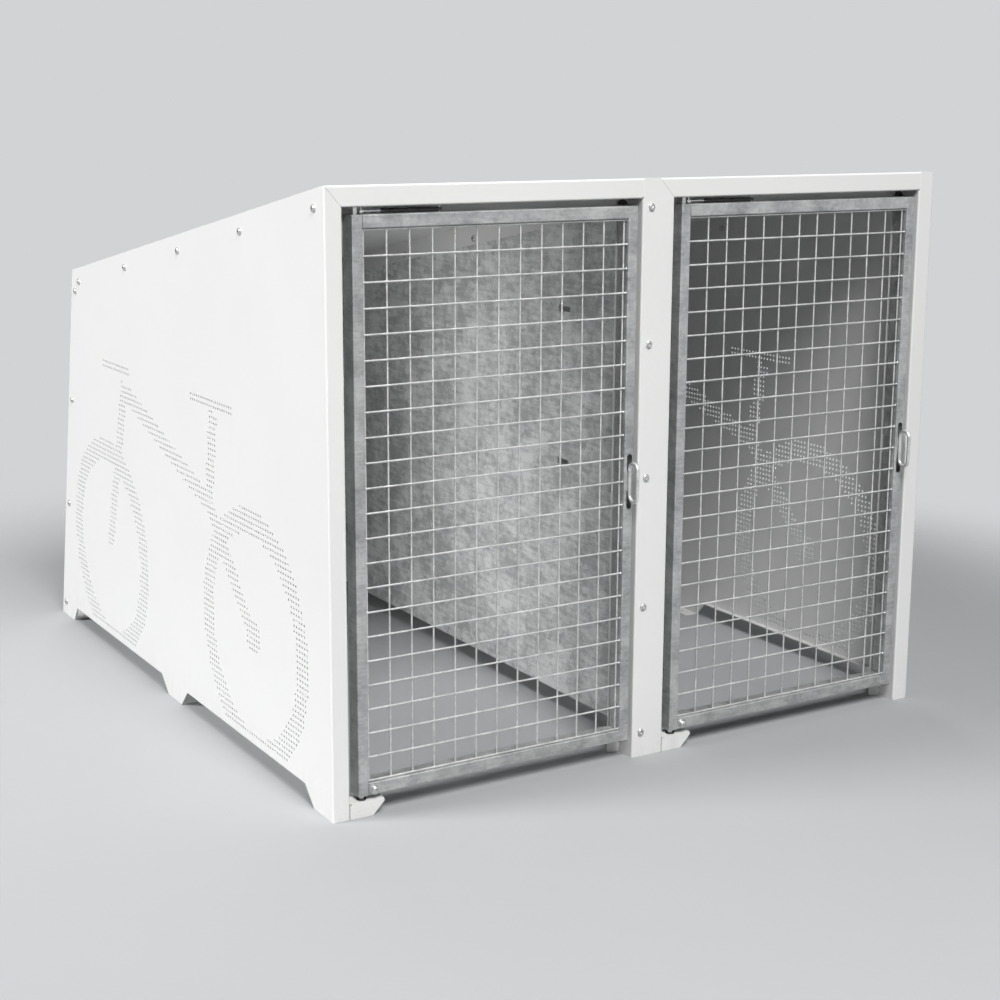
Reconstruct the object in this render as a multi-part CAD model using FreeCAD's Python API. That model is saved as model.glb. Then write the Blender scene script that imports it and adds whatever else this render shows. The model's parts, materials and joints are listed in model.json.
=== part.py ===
import FreeCAD, Part
import os
from math import atan2, ceil, cos, floor, hypot, pi, radians, sin, tan

os.makedirs("parts", exist_ok=True)

# Two-bay bicycle locker in folded sheet steel with two hinged mesh doors.
# Modelled with X to the right seen from the doors, Y from the front sheet to the back, Z up.
# Every node is saved with its origin on the ground, in the middle of the footprint.

# Overall sizes, mm
bay_count = 2
bay_pitch = 768.0
front_height = 1257.0
roof_pitch = 10.3
roof_depth = 1527.0
base_depth = 1748.0

# Sheet metal
sheet = 2.0
bend_radius = 2.0
partition_sheet = 1.5
seam_gap = 0.3
mitre_gap = 0.8
bottom_lip = 15.0
flange_depth = 50.0
flange_strip = 8.0
flange_start = 8.0
rear_flange_depth = 42.0
rear_panel_foot = 25.0
downturn = 25.0

# Posts and fascia round each door opening
hinge_post_width = 37.5
hinge_post_depth = 40.0
lock_post_width = 43.0
stop_flange = 30.0
fascia_height = 42.0
corner_round = 8.0
mitre_overrun = 0.1

# Legs cut from the side sheets
leg_height = 41.0
front_leg_foot = 89.0
leg_flare = 43.0
middle_leg_start = 789.0
middle_leg_foot = 86.0
leg_taper = 40.0
rear_leg_width = 102.0
rear_leg_taper = 31.0
foot_flange = 40.0
foot_start = 57.0
fold_margin = 3.0
anchor_hole = 12.0

# Door frame and welded mesh
mesh_pitch = 50.0
wire = 4.0
wire_gap = 0.03
mesh_setback = 9.0
stile_width = 23.0
rail_height = 26.0
door_depth = 40.0
tube_wall = 2.0
tube_corner = 2.5
door_hinge_gap = 20.0
door_lock_gap = 11.5
door_top_gap = 14.0
door_bottom = 44.0
cap_depth = 14.0
cap_flange = 1.5
plug_clearance = 0.3

# Door pivots
pivot_setback = 13.0
pivot_pin = 10.0
pivot_fit = 0.05
pivot_reach = 18.0
collar_step = 0.5
moving_gap = 0.3
plug_depth = 24.0
pin_head_step = 3.0
pin_head_height = 4.0

# Lower pivot bracket
bracket_height = 33.5
bracket_foot = 52.0
bracket_reach = 78.0
bracket_depth = 38.0
bracket_nose = 6.5
bracket_gap = 0.6
relief_hole = 3.5

# Gas strut above each door
strut_body = 8.0
strut_rod = 4.0
strut_lift = 5.5
strut_pin = 4.0
strut_frame_offset = 15.0
strut_door_offset = 185.0
strut_frame_setback = 2.0
strut_line_setback = 4.0
strut_eye_shift = 1.3
strut_eye_outer = 13.0
strut_eye_inner = 10.0
strut_eye_thickness = 4.0
strut_socket = 9.0
strut_socket_height = 8.0
strut_body_length = 122.0
strut_rod_inside = 60.0
stud_head = 7.0
stud_head_height = 1.2

# Door buffer
buffer_diameter = 24.0
buffer_space = 12.0
buffer_drop = 1.0
buffer_inset = 10.0
cup_wall = 1.0
cup_depth = 7.0

# Padlock staple and the slot it passes through
staple_inset = 10.0
staple_height = 90.0
staple_depth = 36.5
staple_bar = 8.0
staple_back = 2.5
lug_thickness = 6.0
lug_height = 44.0
slot_width = 13.0
slot_height = 119.0

# Clamp bolt of the lower pivot
clamp_inset = 36.0
clamp_level = 11.0
clamp_head = 15.0
clamp_head_height = 6.0
clamp_washer = 22.0
clamp_washer_thickness = 1.5
clamp_shank = 8.0
clamp_plate_length = 40.0
clamp_plate_height = 20.0
clamp_plate_thickness = 4.0
bolt_overrun = 2.0
hex_socket = 5.0

# Button-head screws and nuts of the casing
screw_head = 16.0
screw_head_height = 4.4
head_round = 0.7
socket_share = 0.6
screw_shank = 8.0
screw_length = 13.0
screw_clearance = 0.5
thread_fit = 0.02
nut_across = 13.0
nut_height = 7.0
roof_screw_drop = 36.0
roof_screw_first = 45.0
roof_screw_rear = 52.0
roof_screw_count = 5
rear_screw_inset = 32.0
rear_screw_first = 39.0
rear_screw_drop = 54.0
rear_screw_count = 4
post_screw_inset = 21.5
post_screw_first = 56.0
post_screw_drop = 59.0
post_screw_count = 5

# Keyhole slots in the partition
keyhole_diameter = 22.0
keyhole_slot = 12.0
keyhole_length = 49.0
keyhole_centre = 369.0
keyhole_levels = (951.0, 598.0)

# Perforated bicycle on each side sheet
hole_pitch = 12.2
hole_diameter = 6.0
wheel_radius = 281.0
tyre_width = 58.0
rear_hub = (384.0, 286.0)
front_hub = (1308.0, 286.0)
hub_radius = 40.0
stroke = 46.0
bar_level = 763.0
bar_depth = 34.0
bar_start = 1111.0
bar_end = 1314.0
saddle_start = 465.0
saddle_end = 714.0
fork_top = (1151.0, 728.0)
frame_head = (1142.0, 709.0)
crank = (618.0, 532.0)
seat_top = (578.0, 745.0)
perforation_margin = 14.0

# Derived sizes and places
half_width = bay_count * bay_pitch / 2
opening_width = bay_pitch - hinge_post_width - lock_post_width
opening_top = front_height - fascia_height
door_width = opening_width - door_hinge_gap - door_lock_gap
door_top = opening_top - door_top_gap
mesh_width = door_width - 2 * stile_width
mesh_height = door_top - door_bottom - 2 * rail_height
mesh_least_margin = wire / 2 + seam_gap
mesh_columns = floor((mesh_width - 2 * mesh_least_margin) / mesh_pitch)
mesh_rows = floor((mesh_height - 2 * mesh_least_margin) / mesh_pitch)
mesh_side_margin = (mesh_width - mesh_columns * mesh_pitch) / 2
mesh_end_margin = (mesh_height - mesh_rows * mesh_pitch) / 2
staple_level = (door_bottom + door_top) / 2
stop_setback = door_depth + buffer_space
pivot_collar = pivot_pin + 2 * collar_step
pin_head = pivot_pin + 2 * pin_head_step
panel_inset = sheet + seam_gap
side_flange_end = roof_depth - rear_flange_depth - panel_inset - 2 * seam_gap
partition_inset = partition_sheet / 2 + seam_gap
slope = tan(radians(roof_pitch))
roof_rear = front_height - roof_depth * slope
rear_slope = (base_depth - roof_depth) / roof_rear
rear_leg_foot = base_depth - rear_leg_width
wall_start = foot_start + fold_margin
strut_level = door_top + strut_lift
footprint_front = staple_back - staple_depth
centre_y = (footprint_front + base_depth) / 2
screw_hole = screw_shank + 2 * screw_clearance
roof_screw_last = roof_depth - roof_screw_rear
rear_screw_last = roof_rear - rear_screw_drop
post_screw_last = front_height - post_screw_drop
bay_names = ("left", "right")
vector = FreeCAD.Vector
along_x, along_y, along_z = vector(1, 0, 0), vector(0, 1, 0), vector(0, 0, 1)


def roof_level(y):
    return front_height - y * slope


def rear_line(z):
    return roof_depth + (roof_rear - z) * rear_slope


def bay_start(bay):
    return -half_width + bay * bay_pitch


def opening_start(bay):
    return bay_start(bay) + hinge_post_width


def opening_end(bay):
    return opening_start(bay) + opening_width


def door_start(bay):
    return opening_start(bay) + door_hinge_gap


def door_end(bay):
    return door_start(bay) + door_width


def pivot_x(bay):
    return door_start(bay) + stile_width / 2


def clear_span(bay):
    """Left and right limits of what fits between the walls of one bay."""
    left = panel_inset if bay == 0 else partition_inset
    right = panel_inset if bay == bay_count - 1 else partition_inset
    return bay_start(bay) + left, bay_start(bay + 1) - right


def save(name, shape):
    """Write one node as its own STEP file, about the middle of the footprint."""
    solids = shape.Solids
    body = solids[0] if len(solids) == 1 else Part.makeCompound(solids)
    body.translate(vector(0, -centre_y, 0))
    body.exportStep("parts/" + name + ".step")


def box(x0, x1, y0, y1, z0, z1):
    low_x, high_x = sorted((x0, x1))
    return Part.makeBox(high_x - low_x, y1 - y0, z1 - z0, vector(low_x, y0, z0))


def rod_x(y, z, x0, x1, diameter):
    low_x, high_x = sorted((x0, x1))
    return Part.makeCylinder(diameter / 2, high_x - low_x, vector(low_x, y, z), along_x)


def rod_y(x, z, y0, y1, diameter):
    return Part.makeCylinder(diameter / 2, y1 - y0, vector(x, y0, z), along_y)


def rod_z(x, y, z0, z1, diameter):
    return Part.makeCylinder(diameter / 2, z1 - z0, vector(x, y, z0), along_z)


def prism(ring, span):
    """Solid swept along span from a flat ring of corners."""
    return Part.Face(Part.makePolygon(ring + ring[:1])).extrude(span)


def plate_y(points, y0, y1):
    """Flat plate from (x, z) corners, spanning y0 to y1."""
    return prism([vector(x, y0, z) for x, z in points], vector(0, y1 - y0, 0))


def offset_path(points, distance):
    """Move a path sideways, to its left for a positive distance."""
    lines = []
    for (ax, ay), (bx, by) in zip(points, points[1:]):
        length = hypot(bx - ax, by - ay)
        ux, uy = (bx - ax) / length, (by - ay) / length
        lines.append((ax - uy * distance, ay + ux * distance, ux, uy))
    moved = [lines[0][:2]]
    for (ax, ay, ux, uy), (bx, by, vx, vy) in zip(lines, lines[1:]):
        along = ((bx - ax) * vy - (by - ay) * vx) / (ux * vy - uy * vx)
        moved.append((ax + ux * along, ay + uy * along))
    ux, uy = lines[-1][2:]
    moved.append((points[-1][0] - uy * distance, points[-1][1] + ux * distance))
    return moved


def rounded_edges(points, radii, place):
    """Edges along a path whose corners are arcs of the given radii."""
    edges = []
    start = points[0]
    for corner, radius in enumerate(radii, 1):
        (ax, ay), (bx, by), (cx, cy) = points[corner - 1:corner + 2]
        in_length, out_length = hypot(bx - ax, by - ay), hypot(cx - bx, cy - by)
        ux, uy = (bx - ax) / in_length, (by - ay) / in_length
        vx, vy = (cx - bx) / out_length, (cy - by) / out_length
        turn = atan2(ux * vy - uy * vx, ux * vx + uy * vy)
        reach = radius * abs(tan(turn / 2))
        first = (bx - ux * reach, by - uy * reach)
        second = (bx + vx * reach, by + vy * reach)
        sag = radius * (1 / cos(turn / 2) - 1) / hypot(vx - ux, vy - uy)
        middle = (bx + (vx - ux) * sag, by + (vy - uy) * sag)
        edges.append(Part.makeLine(place(*start), place(*first)))
        edges.append(Part.Arc(place(*first), place(*middle), place(*second)).toShape())
        start = second
    edges.append(Part.makeLine(place(*start), place(*points[-1])))
    return edges


def folded_sheet(points, side, thickness, place, span):
    """Bent sheet: the path of its outer face, thickened to one side (1 left, -1 right) and swept."""
    inner = offset_path(points, side * thickness)
    outer_radii, inner_radii = [], []
    for (ax, ay), (bx, by), (cx, cy) in zip(points, points[1:], points[2:]):
        turn = (bx - ax) * (cy - by) - (by - ay) * (cx - bx)
        wide, narrow = bend_radius + thickness, bend_radius
        outer_radii.append(wide if turn * side > 0 else narrow)
        inner_radii.append(narrow if turn * side > 0 else wide)
    ring = rounded_edges(points, outer_radii, place) + rounded_edges(inner, inner_radii, place)
    ring.append(Part.makeLine(place(*points[0]), place(*inner[0])))
    ring.append(Part.makeLine(place(*points[-1]), place(*inner[-1])))
    return Part.Face(Part.Wire(Part.__sortEdges__(ring))).extrude(span)


def plan(z):
    """Place path points on a level plane."""
    return lambda x, y: vector(x, y, z)


def hexagon(across, length, base, axis):
    """Hexagonal bar starting at base and running along axis."""
    radius = across / 2 / cos(pi / 6)
    ring = [vector(radius * cos(k * pi / 3), radius * sin(k * pi / 3), 0) for k in range(6)]
    bar = prism(ring, vector(0, 0, length))
    bar.Placement = FreeCAD.Placement(base, FreeCAD.Rotation(along_z, axis))
    return bar


def button_screw(seat, axis, head=screw_head, rise=screw_head_height, shank=screw_shank, length=screw_length):
    """Round-headed screw with a hexagon socket: seat is under the head, axis points into the work."""
    top = Part.makeCylinder(head / 2, rise, seat, axis * -1)
    rim = [edge for edge in top.Edges if abs((edge.CenterOfMass - seat).dot(axis)) > rise * 0.9]
    top = top.makeFillet(rise * head_round, rim)
    top = top.cut(hexagon(hex_socket, rise * socket_share, seat - axis * rise, axis))
    return top.fuse(Part.makeCylinder(shank / 2, length, seat, axis))


def nut(seat, axis):
    """Hexagon nut on the inner sheet, bored for the screw."""
    body = hexagon(nut_across, nut_height, seat, axis)
    return body.cut(Part.makeCylinder(screw_shank / 2 + thread_fit, nut_height, seat, axis))


def evenly(first, last, count):
    return [first + (last - first) * index / (count - 1) for index in range(count)]


def screw_rows():
    """Places (y, z) of the screws on each side sheet: first the roof row, then the rear row."""
    along_roof = evenly(roof_screw_first, roof_screw_last, roof_screw_count)
    up_rear = evenly(rear_screw_first, rear_screw_last, rear_screw_count)
    roof_row = [(y, roof_level(y) - roof_screw_drop) for y in along_roof]
    return roof_row + [(rear_line(z) - rear_screw_inset, z) for z in up_rear]


def post_screw_levels():
    return evenly(post_screw_first, post_screw_last, post_screw_count)


def near_bar(y, z, start, end):
    """True where a point lies on a straight bar of the bicycle figure."""
    length = hypot(end[0] - start[0], end[1] - start[1])
    along = ((y - start[0]) * (end[0] - start[0]) + (z - start[1]) * (end[1] - start[1])) / length
    across = ((y - start[0]) * (end[1] - start[1]) - (z - start[1]) * (end[0] - start[0])) / length
    return 0 <= along <= length and abs(across) <= stroke / 2


def in_bicycle(y, z):
    """True where the plain bicycle figure has a hole."""
    for hub in (rear_hub, front_hub):
        radius = hypot(y - hub[0], z - hub[1])
        if wheel_radius - tyre_width <= radius <= wheel_radius:
            return True
    if hypot(y - rear_hub[0], z - rear_hub[1]) <= hub_radius:
        return True
    if abs(z - bar_level) <= bar_depth / 2:
        return bar_start <= y <= bar_end or saddle_start <= y <= saddle_end
    bars = ((fork_top, front_hub), (frame_head, crank), (seat_top, crank), (crank, rear_hub))
    return any(near_bar(y, z, start, end) for start, end in bars)


def inside_sheet(y, z):
    """True where a hole keeps clear of the roof flange and the rear flange."""
    below_roof = roof_level(y) - flange_depth - perforation_margin
    before_rear = rear_line(z) - rear_flange_depth - perforation_margin
    return z < below_roof and y < before_rear


def perforations():
    """Centres of the holes on a square grid that fall inside the figure and inside the sheet."""
    centres = []
    lowest = ceil((leg_height + perforation_margin) / hole_pitch)
    highest = floor((bar_level + bar_depth) / hole_pitch)
    for row in range(lowest, highest + 1):
        for column in range(floor(base_depth / hole_pitch)):
            y, z = column * hole_pitch, row * hole_pitch
            if in_bicycle(y, z) and inside_sheet(y, z):
                centres.append((y, z))
    return centres


def wall_outline(start_y):
    """Outline (y, z) of a side sheet behind its front post, with its three legs."""
    middle_foot = middle_leg_start + leg_taper
    return [
        (start_y, 0),
        (front_leg_foot, 0),
        (front_leg_foot + leg_flare, leg_height),
        (middle_leg_start, leg_height),
        (middle_foot, 0),
        (middle_foot + middle_leg_foot, 0),
        (middle_foot + middle_leg_foot + leg_flare, leg_height),
        (rear_leg_foot - rear_leg_taper, leg_height),
        (rear_leg_foot, 0),
        (base_depth, 0),
        (roof_depth, roof_rear),
        (start_y, roof_level(start_y)),
    ]


def flat_sheet(outline, x, thickness):
    """Flat sheet across X from a (y, z) outline."""
    return prism([vector(x, y, z) for y, z in outline], vector(thickness, 0, 0))


def foot_plate(outer_x, inward, y0, y1):
    """Level flange at the bottom of a leg, with its anchor hole."""
    free_x = outer_x + inward * foot_flange
    plate = box(outer_x, free_x, y0, y1, 0, sheet)
    corners = []
    for edge in plate.Edges:
        centre = edge.CenterOfMass
        if abs(centre.x - free_x) < 0.01 and abs(centre.z - sheet / 2) < 0.01:
            corners.append(edge)
    plate = plate.makeFillet(corner_round, corners)
    return plate.cut(rod_z(outer_x + inward * foot_flange / 2, (y0 + y1) / 2, 0, sheet, anchor_hole))


def round_flange_foot(post, free_x):
    """Round the free bottom corner of a stop flange."""
    edge_x = free_x + corner_round
    corner = box(free_x - 1, edge_x, stop_setback - 1, stop_setback + sheet + 1, -1, corner_round)
    disc = rod_y(edge_x, corner_round, stop_setback - 1, stop_setback + sheet + 1, 2 * corner_round)
    return post.cut(corner.cut(disc))


def above_mitre(corner_x, opening_x):
    """Space above the mitre line that runs from the top corner to the opening corner."""
    reach = (opening_x - corner_x) * mitre_overrun
    fall = (front_height - opening_top) * mitre_overrun - mitre_gap
    points = [
        (corner_x - reach, front_height + fall),
        (opening_x + reach, opening_top - fall - 2 * mitre_gap),
        (opening_x + reach, front_height + 1),
        (corner_x - reach, front_height + 1),
    ]
    return plate_y(points, -1, hinge_post_depth + 1)


def below_mitre(corner_x, opening_x):
    """Space on the post's side of the mitre line."""
    reach = (opening_x - corner_x) * mitre_overrun
    fall = (front_height - opening_top) * mitre_overrun
    points = [
        (corner_x - reach, front_height + fall),
        (opening_x, opening_top),
        (opening_x, opening_top - fall),
        (corner_x - reach, opening_top - fall),
    ]
    return plate_y(points, -1, sheet + bend_radius)


def lock_post_cut(opening_x):
    """Space above an opening that the fascia and its stop flange need on the lock side."""
    level = opening_top - seam_gap
    left = opening_x - stop_flange - 1
    return box(left, opening_x + sheet, -1, stop_setback + sheet + 1, level, front_height + 1)


def post_under_roof(path, side, outer_x, deep):
    """Folded post, cut off along the slope of the roof."""
    post = folded_sheet(path, side, sheet, plan(0), vector(0, 0, front_height))
    reach = deep + 1
    corners = [(-1, -1), (reach, -1), (reach, roof_level(reach)), (0, front_height), (-1, front_height)]
    ring = [vector(outer_x - bay_pitch, y, z) for y, z in corners]
    return post.common(prism(ring, vector(2 * bay_pitch, 0, 0)))


def front_post(hand):
    """Front post of a side sheet, from the sheet's front bend to the door opening."""
    outer_x = hand * half_width
    if hand < 0:
        post_x = opening_start(0)
        path = [(outer_x, wall_start), (outer_x, 0), (post_x, 0), (post_x, hinge_post_depth)]
        post = post_under_roof(path, 1, outer_x, wall_start)
        return post.cut(above_mitre(outer_x, post_x))
    post_x = opening_end(bay_count - 1)
    flange_x = post_x - stop_flange
    path = [(outer_x, wall_start), (outer_x, 0), (post_x, 0), (post_x, stop_setback), (flange_x, stop_setback)]
    post = post_under_roof(path, -1, outer_x, wall_start)
    return round_flange_foot(post.cut(lock_post_cut(post_x)), flange_x)


def side_panel(hand):
    """Side sheet with its front post, legs and flanges; hand is -1 on the left and 1 on the right."""
    outer_x = hand * half_width
    inward = -hand
    inner_x = outer_x + inward * sheet
    wall = flat_sheet(wall_outline(wall_start), outer_x, inward * sheet)
    middle_foot = middle_leg_start + leg_taper
    middle_end = middle_foot + middle_leg_foot
    lip_x = outer_x + inward * bottom_lip
    lip_top = leg_height + sheet
    extras = [
        wall,
        box(outer_x, lip_x, front_leg_foot + leg_flare, middle_leg_start, leg_height, lip_top),
        box(outer_x, lip_x, middle_end + leg_flare, rear_leg_foot - rear_leg_taper, leg_height, lip_top),
        foot_plate(outer_x, inward, foot_start, front_leg_foot),
        foot_plate(outer_x, inward, middle_foot, middle_end),
        foot_plate(outer_x, inward, rear_leg_foot, base_depth - corner_round),
    ]
    holes = [rod_x(y, z, outer_x, inner_x, screw_hole) for y, z in screw_rows()]
    holes += [rod_x(y, z, outer_x, inner_x, hole_diameter) for y, z in perforations()]
    return front_post(hand).fuse(extras).cut(Part.makeCompound(holes))


def centre_post():
    """Post between the bays: stop flange and return of the left bay, return of the right bay."""
    lock_x = opening_end(0)
    hinge_x = opening_start(1)
    flange_x = lock_x - stop_flange
    path = [(flange_x, stop_setback), (lock_x, stop_setback), (lock_x, 0), (hinge_x, 0)]
    path.append((hinge_x, hinge_post_depth))
    post = folded_sheet(path, 1, sheet, plan(0), vector(0, 0, front_height))
    post = post.cut([lock_post_cut(lock_x), above_mitre(bay_start(1), hinge_x)])
    post = round_flange_foot(post, flange_x)
    screw_x = bay_start(1) - post_screw_inset
    return post.cut([rod_y(screw_x, z, -1, sheet + 1, screw_hole) for z in post_screw_levels()])


def keyhole_cuts(x0, x1):
    """Slots that end in a larger hole, cut through the partition."""
    slot_y = keyhole_centre + keyhole_diameter / 2 - keyhole_length + keyhole_slot / 2
    cuts = []
    for z in keyhole_levels:
        cuts.append(rod_x(keyhole_centre, z, x0, x1, keyhole_diameter))
        cuts.append(rod_x(slot_y, z, x0, x1, keyhole_slot))
        cuts.append(box(x0, x1, slot_y, keyhole_centre, z - keyhole_slot / 2, z + keyhole_slot / 2))
    return cuts


def partition():
    """Galvanised sheet between the bays, with a front flange behind the centre post."""
    front_y = panel_inset
    outer_x = bay_start(1) + partition_sheet / 2
    inner_x = outer_x - partition_sheet
    flange_x = opening_end(0) + sheet + bend_radius
    drop = sheet + 2 * seam_gap
    top = roof_level(wall_start) - drop
    path = [(flange_x, front_y), (outer_x, front_y), (outer_x, wall_start)]
    front = folded_sheet(path, 1, partition_sheet, plan(leg_height), vector(0, 0, top - leg_height))
    outline = [
        (wall_start, leg_height),
        (rear_leg_foot - rear_leg_taper, leg_height),
        (rear_leg_foot, 0),
        (base_depth - drop, 0),
        (rear_line(roof_rear) - drop, roof_level(roof_depth - drop) - drop),
        (wall_start, top),
    ]
    wall = flat_sheet(outline, outer_x, -partition_sheet)
    foot = foot_plate(outer_x, -1, rear_leg_foot, base_depth - corner_round)
    cuts = keyhole_cuts(inner_x, outer_x)
    cuts += [rod_x(y, z, inner_x, outer_x, screw_hole) for y, z in screw_rows()]
    screw_x = bay_start(1) - post_screw_inset
    for z in post_screw_levels():
        cuts.append(rod_y(screw_x, z, front_y, front_y + partition_sheet, screw_hole))
    return front.fuse([wall, foot]).cut(cuts)


def side_flange(edge_x, inward):
    """Turned-down side edge of a roof tray."""
    level = roof_level(flange_start)
    path = [(edge_x + inward * flange_strip, level), (edge_x, level), (edge_x, level - flange_depth)]
    along = vector(0, side_flange_end - flange_start, roof_level(side_flange_end) - level)
    return folded_sheet(path, inward, sheet, lambda x, z: vector(x, flange_start, z), along)


def flange_holes(left, right, rows):
    """Screw holes through the two side flanges of a tray or a rear panel."""
    holes = []
    for y, z in rows:
        holes.append(rod_x(y, z, left, left + sheet, screw_hole))
        holes.append(rod_x(y, z, right - sheet, right, screw_hole))
    return holes


def roof_tray(bay):
    """Roof sheet of one bay with its fascia, stop flange, side flanges and rear downturn."""
    left, right = clear_span(bay)
    low_z = roof_rear - downturn
    path = [(rear_line(low_z), low_z), (roof_depth, roof_rear), (0, front_height), (0, opening_top)]
    path += [(stop_setback, opening_top), (stop_setback, opening_top - stop_flange)]
    tray = folded_sheet(path, 1, sheet, lambda y, z: vector(left, y, z), vector(right - left, 0, 0))
    hinge_x, lock_x = opening_start(bay), opening_end(bay)
    low = opening_top - stop_flange - 1
    lip_top = opening_top + sheet + bend_radius
    deep = stop_setback + sheet + 1
    bend_y = stop_setback - bend_radius - seam_gap
    pin_hole = pivot_pin + 2 * thread_fit
    cuts = [
        box(left, left + flange_strip, flange_start, side_flange_end, roof_rear - 1, front_height),
        box(right - flange_strip, right, flange_start, side_flange_end, roof_rear - 1, front_height),
        box(left - 1, hinge_x + seam_gap, sheet, deep, low, lip_top),
        box(lock_x - seam_gap, right + 1, -1, deep, low, lip_top),
        box(lock_x - stop_flange - seam_gap, right + 1, bend_y, deep, low, lip_top),
        box(lock_x + sheet - mitre_gap / 2, right + 1, -1, panel_inset, low, front_height + 1),
        below_mitre(bay_start(bay), hinge_x),
        rod_z(pivot_x(bay), pivot_setback, opening_top - 1, opening_top + sheet + 1, pin_hole),
    ]
    tray = tray.cut(cuts).fuse([side_flange(left, 1), side_flange(right, -1)])
    return tray.cut(flange_holes(left, right, screw_rows()[:roof_screw_count]))


def rear_panel(bay):
    """Sloping rear sheet of one bay with its side flanges and bottom lip."""
    left, right = clear_span(bay)
    top = roof_rear - panel_inset - flange_strip
    back_y = rear_line(rear_panel_foot) - panel_inset - seam_gap
    path = [(left, back_y - rear_flange_depth), (left, back_y), (right, back_y)]
    path.append((right, back_y - rear_flange_depth))
    rise = vector(0, rear_line(top) - rear_line(rear_panel_foot), top - rear_panel_foot)
    panel = folded_sheet(path, -1, sheet, plan(rear_panel_foot), rise)
    lip_x0, lip_x1 = left + flange_strip, right - flange_strip
    lip_top = rear_panel_foot + sheet
    lip = box(lip_x0, lip_x1, back_y - bottom_lip, back_y - sheet / 2, rear_panel_foot, lip_top)
    return panel.fuse(lip).cut(flange_holes(left, right, screw_rows()[roof_screw_count:]))


def side_screws(hand):
    """Screws through one side sheet into the roof tray and the rear panel."""
    seat_x = hand * half_width
    return [button_screw(vector(seat_x, y, z), along_x * -hand) for y, z in screw_rows()]


def side_nuts(hand):
    seat_x = hand * (half_width - panel_inset - sheet)
    return [nut(vector(seat_x, y, z), along_x * -hand) for y, z in screw_rows()]


def partition_bolts():
    """Screws that join both bays' flanges through the partition."""
    seat_x = bay_start(1) - partition_inset - sheet
    return [button_screw(vector(seat_x, y, z), along_x) for y, z in screw_rows()]


def partition_nuts():
    seat_x = bay_start(1) + partition_inset + sheet
    return [nut(vector(seat_x, y, z), along_x) for y, z in screw_rows()]


def post_screws():
    screw_x = bay_start(1) - post_screw_inset
    return [button_screw(vector(screw_x, 0, z), along_y) for z in post_screw_levels()]


def post_nuts():
    screw_x = bay_start(1) - post_screw_inset
    seat_y = panel_inset + partition_sheet
    return [nut(vector(screw_x, seat_y, z), along_y) for z in post_screw_levels()]


def pivot_bracket(bay):
    """Folded bracket at the foot of the hinge post that carries the lower pivot pin."""
    x = opening_start(bay) + bracket_gap
    foot_x = opening_start(bay) + bracket_foot
    far_x = opening_start(bay) + bracket_reach
    nose_x = far_x - sheet
    points = [(x, 0), (foot_x, 0), (far_x, bracket_height - bracket_nose), (nose_x, bracket_height)]
    points.append((x, bracket_height))
    front = plate_y(points, 0, sheet)
    shelf = box(x, nose_x, 0, bracket_depth, bracket_height - sheet, bracket_height)
    cheek = box(x, x + sheet, 0, bracket_depth, 0, bracket_height)
    hole = pivot_pin + 2 * thread_fit
    cuts = [
        rod_z(pivot_x(bay), pivot_setback, bracket_height - sheet - 1, bracket_height + 1, hole),
        rod_y(x + sheet, bracket_height - sheet, -1, sheet + bend_radius, relief_hole),
    ]
    return front.fuse([shelf, cheek]).cut(cuts)


def lower_pin(bay):
    """Lower pivot pin: head under the bracket shelf, collar under the door, pin in the stile plug."""
    x = pivot_x(bay)
    under = bracket_height - sheet
    head = rod_z(x, pivot_setback, under - pin_head_height, under, pin_head)
    shank = rod_z(x, pivot_setback, under - 1, door_bottom + pivot_reach, pivot_pin)
    collar = rod_z(x, pivot_setback, bracket_height, door_bottom - moving_gap, pivot_collar)
    return head.fuse([shank, collar])


def upper_pin(bay):
    """Upper pivot pin: head above the fascia's lower lip, collar in the gap, pin in the stile plug."""
    x = pivot_x(bay)
    lip_top = opening_top + sheet
    head = rod_z(x, pivot_setback, lip_top, lip_top + pin_head_height, pin_head)
    shank = rod_z(x, pivot_setback, door_top - pivot_reach, lip_top + 1, pivot_pin)
    collar = rod_z(x, pivot_setback, door_top + moving_gap, opening_top, pivot_collar)
    return head.fuse([shank, collar])


def square_tube(x0, x1, z0, z1, upright):
    """Door frame tube with rounded long edges, upright or level."""
    outer = box(x0, x1, 0, door_depth, z0, z1)
    wall = tube_wall
    if upright:
        inner = box(x0 + wall, x1 - wall, wall, door_depth - wall, z0, z1)
    else:
        inner = box(x0, x1, wall, door_depth - wall, z0 + wall, z1 - wall)
    run = z1 - z0 if upright else x1 - x0
    edges = [edge for edge in outer.Edges if abs(edge.Length - run) < 0.01]
    return outer.makeFillet(tube_corner, edges).cut(inner)


def hinge_stile(bay):
    """Upright tube on the pivots."""
    left = door_start(bay)
    return square_tube(left, left + stile_width, door_bottom, door_top, True)


def lock_stile(bay):
    """Upright tube with the slots for the padlock staple."""
    right = door_end(bay)
    tube = square_tube(right - stile_width, right, door_bottom, door_top, True)
    x = right - staple_inset
    reach = (slot_height - slot_width) / 2
    low, high = staple_level - reach, staple_level + reach
    cuts = [
        box(x - slot_width / 2, x + slot_width / 2, -1, door_depth + 1, low, high),
        rod_y(x, low, -1, door_depth + 1, slot_width),
        rod_y(x, high, -1, door_depth + 1, slot_width),
    ]
    return tube.cut(cuts)


def top_rail(bay):
    """Upper level tube, bored for the strut's stud."""
    left, right = door_start(bay) + stile_width, door_end(bay) - stile_width
    tube = square_tube(left, right, door_top - rail_height, door_top, False)
    _, _, (x, y) = strut_places(bay)
    return tube.cut(rod_z(x, y, door_top - tube_wall, door_top, strut_pin + 2 * thread_fit))


def bottom_rail(bay):
    """Lower level tube, bored for the clamp bolt."""
    left, right = door_start(bay) + stile_width, door_end(bay) - stile_width
    tube = square_tube(left, right, door_bottom, door_bottom + rail_height, False)
    x, z = clamp_place(bay)
    return tube.cut(rod_y(x, z, 0, tube_wall, clamp_shank + screw_clearance))


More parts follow.
